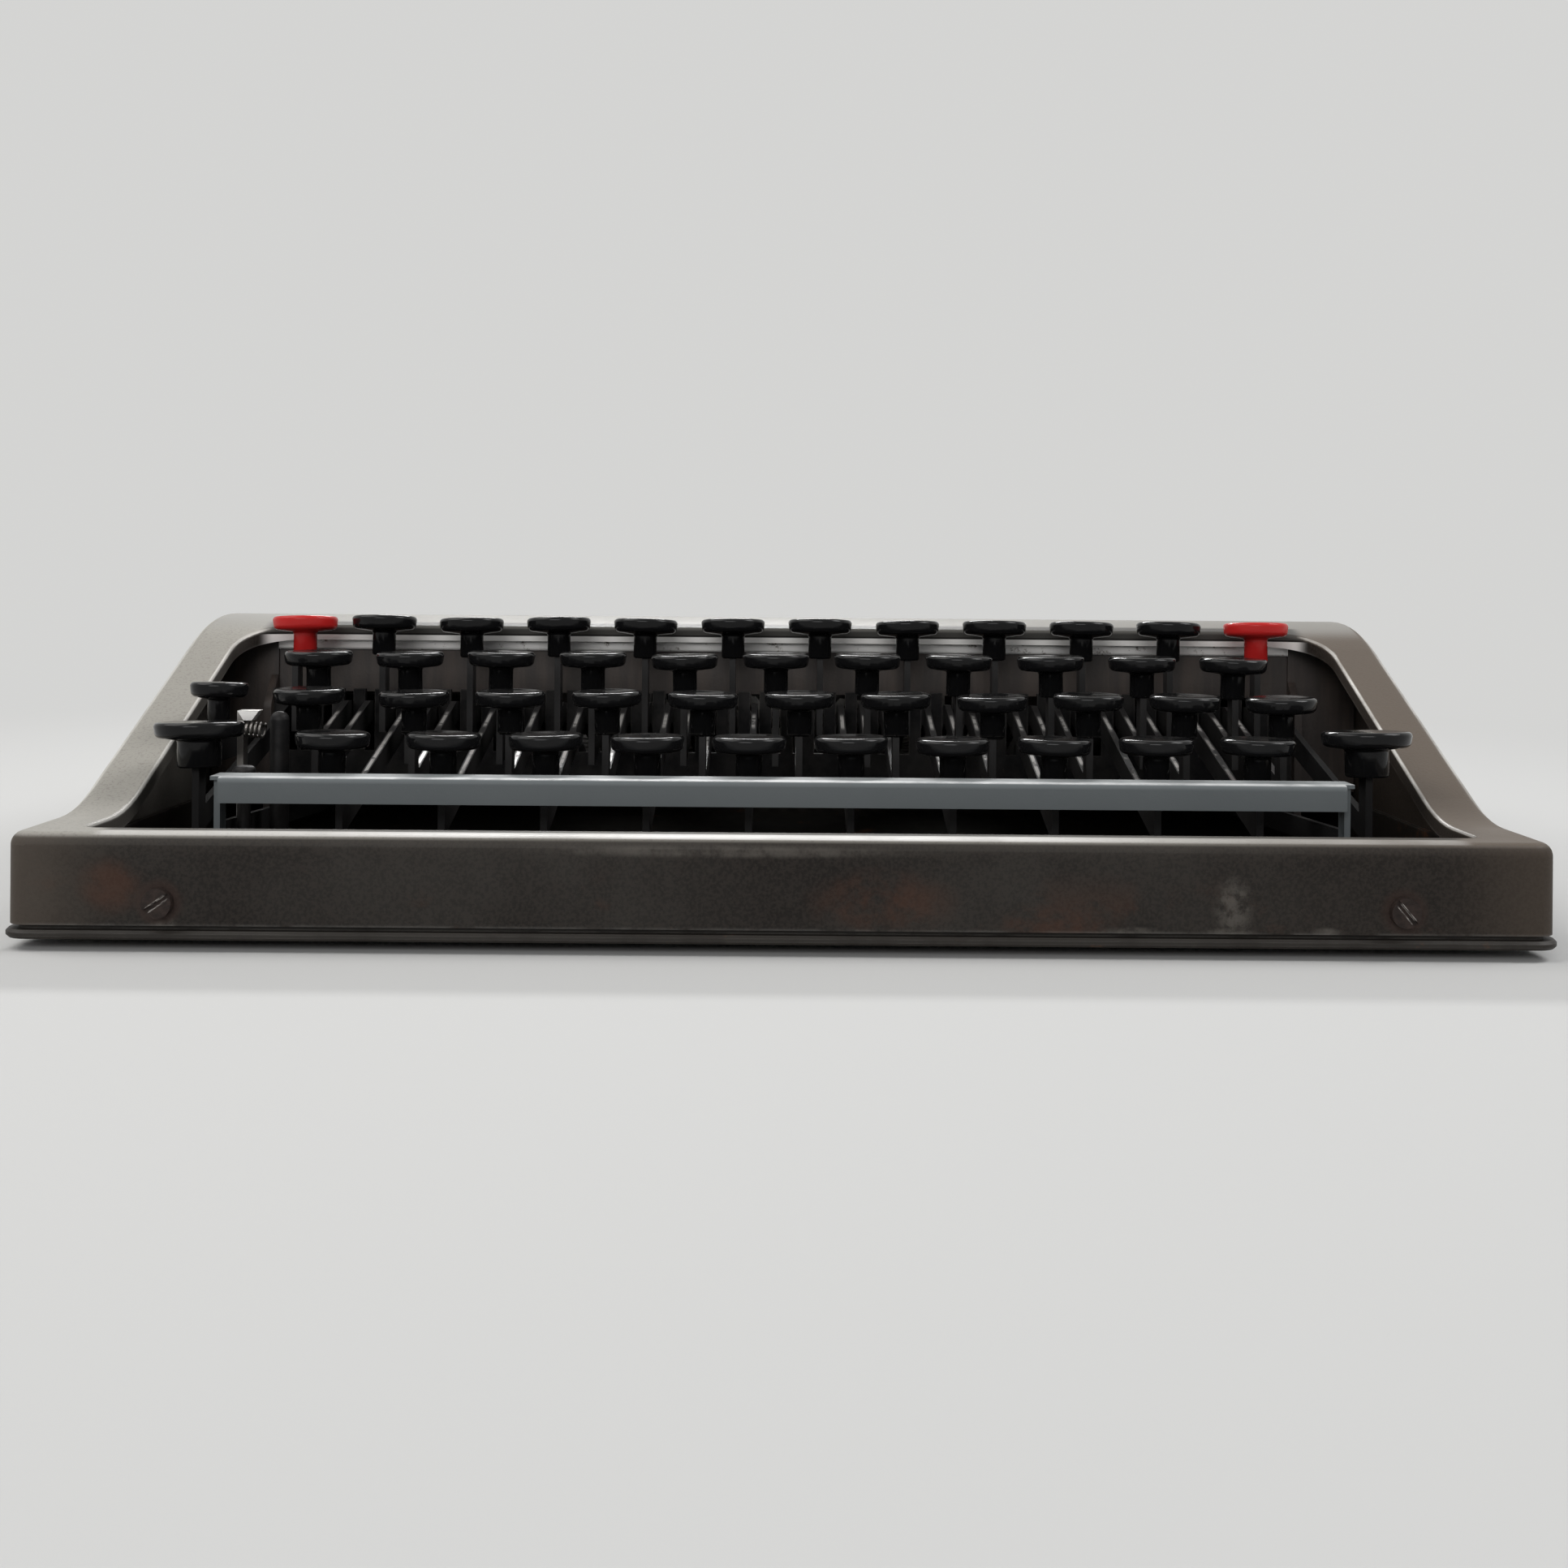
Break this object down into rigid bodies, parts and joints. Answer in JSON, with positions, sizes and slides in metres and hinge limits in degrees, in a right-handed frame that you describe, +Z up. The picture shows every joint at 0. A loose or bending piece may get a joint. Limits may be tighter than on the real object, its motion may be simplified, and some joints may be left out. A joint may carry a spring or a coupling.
{
  "type": "portable typewriter",
  "caption": "Flat portable typewriter: a sheet metal case, stepped rows of round keys, a space bar, a type basket and a sliding carriage with roller and return lever.",
  "frame": {"origin": "middle of the footprint, on the table under the rubber feet", "axes": "+X to the typist's right, +Y from the space bar to the carriage, +Z up"},
  "size_m": [0.268, 0.256, 0.0547],
  "materials": {
    "case_paint": "worn warm grey paint",
    "tray_paint": "dark grey paint",
    "screw_steel": "rusted steel",
    "foot_rubber": "black rubber",
    "frame_steel": "brown black enamel",
    "bed_steel": "brown enamel",
    "type_steel": "plated steel",
    "rail_steel": "ground steel",
    "carriage_paint": "dark enamel",
    "platen_rubber": "black rubber on a steel axle",
    "lever_chrome": "bright plated",
    "spool_steel": "plain steel with a ribbon roll",
    "bar_paint": "blue grey enamel",
    "key_black": "gloss black keytop on a steel lever",
    "key_red": "gloss red keytop on a steel lever"
  },
  "bodies": {
    "case": {"base_tray": "tray_paint", "body_shell": "case_paint", "shell_screws": "screw_steel", "rubber_feet": "foot_rubber", "lever_frame": "frame_steel", "key_bed": "bed_steel", "type_basket": "type_steel"},
    "shift_frame": {"carriage_rail": "rail_steel"},
    "carriage": {"carriage_frame": "carriage_paint"},
    "platen": {"platen": "platen_rubber"},
    "return_lever": {"return_lever": "lever_chrome"},
    "space_bar": {"space_bar": "bar_paint"},
    "shift_keys": {"shift_keys": "key_black"},
    "shift_lock": {"shift_lock": "key_black"},
    "ribbon_spool_left": {"ribbon_spool_left": "spool_steel"},
    "ribbon_spool_right": {"ribbon_spool_right": "spool_steel"},
    "margin_release_key": {"margin_release_key": "key_red"},
    "backspace_key": {"backspace_key": "key_red"},
    "key_r1_02": {"key_r1_02": "key_black"},
    "key_r1_03": {"key_r1_03": "key_black"},
    "key_r1_04": {"key_r1_04": "key_black"},
    "key_r1_05": {"key_r1_05": "key_black"},
    "key_r1_06": {"key_r1_06": "key_black"},
    "key_r1_07": {"key_r1_07": "key_black"},
    "key_r1_08": {"key_r1_08": "key_black"},
    "key_r1_09": {"key_r1_09": "key_black"},
    "key_r1_10": {"key_r1_10": "key_black"},
    "key_r1_11": {"key_r1_11": "key_black"},
    "key_r2_01": {"key_r2_01": "key_black"},
    "key_r2_02": {"key_r2_02": "key_black"},
    "key_r2_03": {"key_r2_03": "key_black"},
    "key_r2_04": {"key_r2_04": "key_black"},
    "key_r2_05": {"key_r2_05": "key_black"},
    "key_r2_06": {"key_r2_06": "key_black"},
    "key_r2_07": {"key_r2_07": "key_black"},
    "key_r2_08": {"key_r2_08": "key_black"},
    "key_r2_09": {"key_r2_09": "key_black"},
    "key_r2_10": {"key_r2_10": "key_black"},
    "key_r2_11": {"key_r2_11": "key_black"},
    "key_r3_01": {"key_r3_01": "key_black"},
    "key_r3_02": {"key_r3_02": "key_black"},
    "key_r3_03": {"key_r3_03": "key_black"},
    "key_r3_04": {"key_r3_04": "key_black"},
    "key_r3_05": {"key_r3_05": "key_black"},
    "key_r3_06": {"key_r3_06": "key_black"},
    "key_r3_07": {"key_r3_07": "key_black"},
    "key_r3_08": {"key_r3_08": "key_black"},
    "key_r3_09": {"key_r3_09": "key_black"},
    "key_r3_10": {"key_r3_10": "key_black"},
    "key_r3_11": {"key_r3_11": "key_black"},
    "key_r4_01": {"key_r4_01": "key_black"},
    "key_r4_02": {"key_r4_02": "key_black"},
    "key_r4_03": {"key_r4_03": "key_black"},
    "key_r4_04": {"key_r4_04": "key_black"},
    "key_r4_05": {"key_r4_05": "key_black"},
    "key_r4_06": {"key_r4_06": "key_black"},
    "key_r4_07": {"key_r4_07": "key_black"},
    "key_r4_08": {"key_r4_08": "key_black"},
    "key_r4_09": {"key_r4_09": "key_black"},
    "key_r4_10": {"key_r4_10": "key_black"}
  },
  "joints": [
    {"name": "carriage_travel", "type": "slide", "parent": "shift_frame", "child": "carriage", "axis": [1, 0, 0], "range_m": [-0.1, 0.1]},
    {"name": "platen_turn", "type": "hinge", "parent": "carriage", "child": "platen", "pos_m": [0, 0.05815, 0.039], "axis": [1, 0, 0], "continuous": true},
    {"name": "return_lever_swing", "type": "hinge", "parent": "carriage", "child": "return_lever", "pos_m": [-0.119, 0.04815, 0.0507], "axis": [0, 0, 1], "range_deg": [0, 70], "stiffness_Nm_per_rad": 0.03, "springref_deg": -17.19},
    {"name": "space_bar_press", "type": "hinge", "parent": "case", "child": "space_bar", "pos_m": [0, 0.1, 0.012], "axis": [1, 0, 0], "range_deg": [0, 2.6], "stiffness_Nm_per_rad": 1.5, "springref_deg": -8.59},
    {"name": "shift_press", "type": "hinge", "parent": "case", "child": "shift_keys", "pos_m": [0, 0.1, 0.012], "axis": [1, 0, 0], "range_deg": [0, 2.7], "stiffness_Nm_per_rad": 1.5, "springref_deg": -8.59},
    {"name": "shift_frame_lift", "type": "hinge", "parent": "case", "child": "shift_frame", "pos_m": [0, 0.112, 0.015], "axis": [-1, 0, 0], "range_deg": [0, 4.05]},
    {"name": "shift_lock_press", "type": "hinge", "parent": "shift_keys", "child": "shift_lock", "pos_m": [-0.1114, -0.0449, 0.0286], "axis": [1, 0, 0], "range_deg": [0, 6], "stiffness_Nm_per_rad": 0.05, "springref_deg": -11.46},
    {"name": "left_spool_turn", "type": "hinge", "parent": "case", "child": "ribbon_spool_left", "pos_m": [-0.0866, 0.00815, 0.042], "axis": [0, 0, 1], "continuous": true},
    {"name": "right_spool_turn", "type": "hinge", "parent": "case", "child": "ribbon_spool_right", "pos_m": [0.0866, 0.00815, 0.042], "axis": [0, 0, 1], "continuous": true},
    {"name": "margin_release_key_press", "type": "hinge", "parent": "case", "child": "margin_release_key", "pos_m": [0, 0.1, 0.012], "axis": [1, 0, 0], "range_deg": [0, 2.6], "stiffness_Nm_per_rad": 0.5, "springref_deg": -6.88},
    {"name": "backspace_key_press", "type": "hinge", "parent": "case", "child": "backspace_key", "pos_m": [0, 0.1, 0.012], "axis": [1, 0, 0], "range_deg": [0, 2.6], "stiffness_Nm_per_rad": 0.5, "springref_deg": -6.88},
    {"name": "key_r1_02_press", "type": "hinge", "parent": "case", "child": "key_r1_02", "pos_m": [0, 0.1, 0.012], "axis": [1, 0, 0], "range_deg": [0, 2.6], "stiffness_Nm_per_rad": 0.5, "springref_deg": -6.88},
    {"name": "key_r1_03_press", "type": "hinge", "parent": "case", "child": "key_r1_03", "pos_m": [0, 0.1, 0.012], "axis": [1, 0, 0], "range_deg": [0, 2.6], "stiffness_Nm_per_rad": 0.5, "springref_deg": -6.88},
    {"name": "key_r1_04_press", "type": "hinge", "parent": "case", "child": "key_r1_04", "pos_m": [0, 0.1, 0.012], "axis": [1, 0, 0], "range_deg": [0, 2.6], "stiffness_Nm_per_rad": 0.5, "springref_deg": -6.88},
    {"name": "key_r1_05_press", "type": "hinge", "parent": "case", "child": "key_r1_05", "pos_m": [0, 0.1, 0.012], "axis": [1, 0, 0], "range_deg": [0, 2.6], "stiffness_Nm_per_rad": 0.5, "springref_deg": -6.88},
    {"name": "key_r1_06_press", "type": "hinge", "parent": "case", "child": "key_r1_06", "pos_m": [0, 0.1, 0.012], "axis": [1, 0, 0], "range_deg": [0, 2.6], "stiffness_Nm_per_rad": 0.5, "springref_deg": -6.88},
    {"name": "key_r1_07_press", "type": "hinge", "parent": "case", "child": "key_r1_07", "pos_m": [0, 0.1, 0.012], "axis": [1, 0, 0], "range_deg": [0, 2.6], "stiffness_Nm_per_rad": 0.5, "springref_deg": -6.88},
    {"name": "key_r1_08_press", "type": "hinge", "parent": "case", "child": "key_r1_08", "pos_m": [0, 0.1, 0.012], "axis": [1, 0, 0], "range_deg": [0, 2.6], "stiffness_Nm_per_rad": 0.5, "springref_deg": -6.88},
    {"name": "key_r1_09_press", "type": "hinge", "parent": "case", "child": "key_r1_09", "pos_m": [0, 0.1, 0.012], "axis": [1, 0, 0], "range_deg": [0, 2.6], "stiffness_Nm_per_rad": 0.5, "springref_deg": -6.88},
    {"name": "key_r1_10_press", "type": "hinge", "parent": "case", "child": "key_r1_10", "pos_m": [0, 0.1, 0.012], "axis": [1, 0, 0], "range_deg": [0, 2.6], "stiffness_Nm_per_rad": 0.5, "springref_deg": -6.88},
    {"name": "key_r1_11_press", "type": "hinge", "parent": "case", "child": "key_r1_11", "pos_m": [0, 0.1, 0.012], "axis": [1, 0, 0], "range_deg": [0, 2.6], "stiffness_Nm_per_rad": 0.5, "springref_deg": -6.88},
    {"name": "key_r2_01_press", "type": "hinge", "parent": "case", "child": "key_r2_01", "pos_m": [0, 0.1, 0.012], "axis": [1, 0, 0], "range_deg": [0, 2.6], "stiffness_Nm_per_rad": 0.5, "springref_deg": -6.88},
    {"name": "key_r2_02_press", "type": "hinge", "parent": "case", "child": "key_r2_02", "pos_m": [0, 0.1, 0.012], "axis": [1, 0, 0], "range_deg": [0, 2.6], "stiffness_Nm_per_rad": 0.5, "springref_deg": -6.88},
    {"name": "key_r2_03_press", "type": "hinge", "parent": "case", "child": "key_r2_03", "pos_m": [0, 0.1, 0.012], "axis": [1, 0, 0], "range_deg": [0, 2.6], "stiffness_Nm_per_rad": 0.5, "springref_deg": -6.88},
    {"name": "key_r2_04_press", "type": "hinge", "parent": "case", "child": "key_r2_04", "pos_m": [0, 0.1, 0.012], "axis": [1, 0, 0], "range_deg": [0, 2.6], "stiffness_Nm_per_rad": 0.5, "springref_deg": -6.88},
    {"name": "key_r2_05_press", "type": "hinge", "parent": "case", "child": "key_r2_05", "pos_m": [0, 0.1, 0.012], "axis": [1, 0, 0], "range_deg": [0, 2.6], "stiffness_Nm_per_rad": 0.5, "springref_deg": -6.88},
    {"name": "key_r2_06_press", "type": "hinge", "parent": "case", "child": "key_r2_06", "pos_m": [0, 0.1, 0.012], "axis": [1, 0, 0], "range_deg": [0, 2.6], "stiffness_Nm_per_rad": 0.5, "springref_deg": -6.88},
    {"name": "key_r2_07_press", "type": "hinge", "parent": "case", "child": "key_r2_07", "pos_m": [0, 0.1, 0.012], "axis": [1, 0, 0], "range_deg": [0, 2.6], "stiffness_Nm_per_rad": 0.5, "springref_deg": -6.88},
    {"name": "key_r2_08_press", "type": "hinge", "parent": "case", "child": "key_r2_08", "pos_m": [0, 0.1, 0.012], "axis": [1, 0, 0], "range_deg": [0, 2.6], "stiffness_Nm_per_rad": 0.5, "springref_deg": -6.88},
    {"name": "key_r2_09_press", "type": "hinge", "parent": "case", "child": "key_r2_09", "pos_m": [0, 0.1, 0.012], "axis": [1, 0, 0], "range_deg": [0, 2.6], "stiffness_Nm_per_rad": 0.5, "springref_deg": -6.88},
    {"name": "key_r2_10_press", "type": "hinge", "parent": "case", "child": "key_r2_10", "pos_m": [0, 0.1, 0.012], "axis": [1, 0, 0], "range_deg": [0, 2.6], "stiffness_Nm_per_rad": 0.5, "springref_deg": -6.88},
    {"name": "key_r2_11_press", "type": "hinge", "parent": "case", "child": "key_r2_11", "pos_m": [0, 0.1, 0.012], "axis": [1, 0, 0], "range_deg": [0, 2.6], "stiffness_Nm_per_rad": 0.5, "springref_deg": -6.88},
    {"name": "key_r3_01_press", "type": "hinge", "parent": "case", "child": "key_r3_01", "pos_m": [0, 0.1, 0.012], "axis": [1, 0, 0], "range_deg": [0, 2.6], "stiffness_Nm_per_rad": 0.5, "springref_deg": -6.88},
    {"name": "key_r3_02_press", "type": "hinge", "parent": "case", "child": "key_r3_02", "pos_m": [0, 0.1, 0.012], "axis": [1, 0, 0], "range_deg": [0, 2.6], "stiffness_Nm_per_rad": 0.5, "springref_deg": -6.88},
    {"name": "key_r3_03_press", "type": "hinge", "parent": "case", "child": "key_r3_03", "pos_m": [0, 0.1, 0.012], "axis": [1, 0, 0], "range_deg": [0, 2.6], "stiffness_Nm_per_rad": 0.5, "springref_deg": -6.88},
    {"name": "key_r3_04_press", "type": "hinge", "parent": "case", "child": "key_r3_04", "pos_m": [0, 0.1, 0.012], "axis": [1, 0, 0], "range_deg": [0, 2.6], "stiffness_Nm_per_rad": 0.5, "springref_deg": -6.88},
    {"name": "key_r3_05_press", "type": "hinge", "parent": "case", "child": "key_r3_05", "pos_m": [0, 0.1, 0.012], "axis": [1, 0, 0], "range_deg": [0, 2.6], "stiffness_Nm_per_rad": 0.5, "springref_deg": -6.88},
    {"name": "key_r3_06_press", "type": "hinge", "parent": "case", "child": "key_r3_06", "pos_m": [0, 0.1, 0.012], "axis": [1, 0, 0], "range_deg": [0, 2.6], "stiffness_Nm_per_rad": 0.5, "springref_deg": -6.88},
    {"name": "key_r3_07_press", "type": "hinge", "parent": "case", "child": "key_r3_07", "pos_m": [0, 0.1, 0.012], "axis": [1, 0, 0], "range_deg": [0, 2.6], "stiffness_Nm_per_rad": 0.5, "springref_deg": -6.88},
    {"name": "key_r3_08_press", "type": "hinge", "parent": "case", "child": "key_r3_08", "pos_m": [0, 0.1, 0.012], "axis": [1, 0, 0], "range_deg": [0, 2.6], "stiffness_Nm_per_rad": 0.5, "springref_deg": -6.88},
    {"name": "key_r3_09_press", "type": "hinge", "parent": "case", "child": "key_r3_09", "pos_m": [0, 0.1, 0.012], "axis": [1, 0, 0], "range_deg": [0, 2.6], "stiffness_Nm_per_rad": 0.5, "springref_deg": -6.88},
    {"name": "key_r3_10_press", "type": "hinge", "parent": "case", "child": "key_r3_10", "pos_m": [0, 0.1, 0.012], "axis": [1, 0, 0], "range_deg": [0, 2.6], "stiffness_Nm_per_rad": 0.5, "springref_deg": -6.88},
    {"name": "key_r3_11_press", "type": "hinge", "parent": "case", "child": "key_r3_11", "pos_m": [0, 0.1, 0.012], "axis": [1, 0, 0], "range_deg": [0, 2.6], "stiffness_Nm_per_rad": 0.5, "springref_deg": -6.88},
    {"name": "key_r4_01_press", "type": "hinge", "parent": "case", "child": "key_r4_01", "pos_m": [0, 0.1, 0.012], "axis": [1, 0, 0], "range_deg": [0, 2.6], "stiffness_Nm_per_rad": 0.5, "springref_deg": -6.88},
    {"name": "key_r4_02_press", "type": "hinge", "parent": "case", "child": "key_r4_02", "pos_m": [0, 0.1, 0.012], "axis": [1, 0, 0], "range_deg": [0, 2.6], "stiffness_Nm_per_rad": 0.5, "springref_deg": -6.88},
    {"name": "key_r4_03_press", "type": "hinge", "parent": "case", "child": "key_r4_03", "pos_m": [0, 0.1, 0.012], "axis": [1, 0, 0], "range_deg": [0, 2.6], "stiffness_Nm_per_rad": 0.5, "springref_deg": -6.88},
    {"name": "key_r4_04_press", "type": "hinge", "parent": "case", "child": "key_r4_04", "pos_m": [0, 0.1, 0.012], "axis": [1, 0, 0], "range_deg": [0, 2.6], "stiffness_Nm_per_rad": 0.5, "springref_deg": -6.88},
    {"name": "key_r4_05_press", "type": "hinge", "parent": "case", "child": "key_r4_05", "pos_m": [0, 0.1, 0.012], "axis": [1, 0, 0], "range_deg": [0, 2.6], "stiffness_Nm_per_rad": 0.5, "springref_deg": -6.88},
    {"name": "key_r4_06_press", "type": "hinge", "parent": "case", "child": "key_r4_06", "pos_m": [0, 0.1, 0.012], "axis": [1, 0, 0], "range_deg": [0, 2.6], "stiffness_Nm_per_rad": 0.5, "springref_deg": -6.88},
    {"name": "key_r4_07_press", "type": "hinge", "parent": "case", "child": "key_r4_07", "pos_m": [0, 0.1, 0.012], "axis": [1, 0, 0], "range_deg": [0, 2.6], "stiffness_Nm_per_rad": 0.5, "springref_deg": -6.88},
    {"name": "key_r4_08_press", "type": "hinge", "parent": "case", "child": "key_r4_08", "pos_m": [0, 0.1, 0.012], "axis": [1, 0, 0], "range_deg": [0, 2.6], "stiffness_Nm_per_rad": 0.5, "springref_deg": -6.88},
    {"name": "key_r4_09_press", "type": "hinge", "parent": "case", "child": "key_r4_09", "pos_m": [0, 0.1, 0.012], "axis": [1, 0, 0], "range_deg": [0, 2.6], "stiffness_Nm_per_rad": 0.5, "springref_deg": -6.88},
    {"name": "key_r4_10_press", "type": "hinge", "parent": "case", "child": "key_r4_10", "pos_m": [0, 0.1, 0.012], "axis": [1, 0, 0], "range_deg": [0, 2.6], "stiffness_Nm_per_rad": 0.5, "springref_deg": -6.88}
  ],
  "couplings": [
    {"joint": "shift_frame_lift", "follows": "shift_press", "ratio": 1.5},
    {"joint": "right_spool_turn", "follows": "left_spool_turn", "ratio": 1}
  ]
}
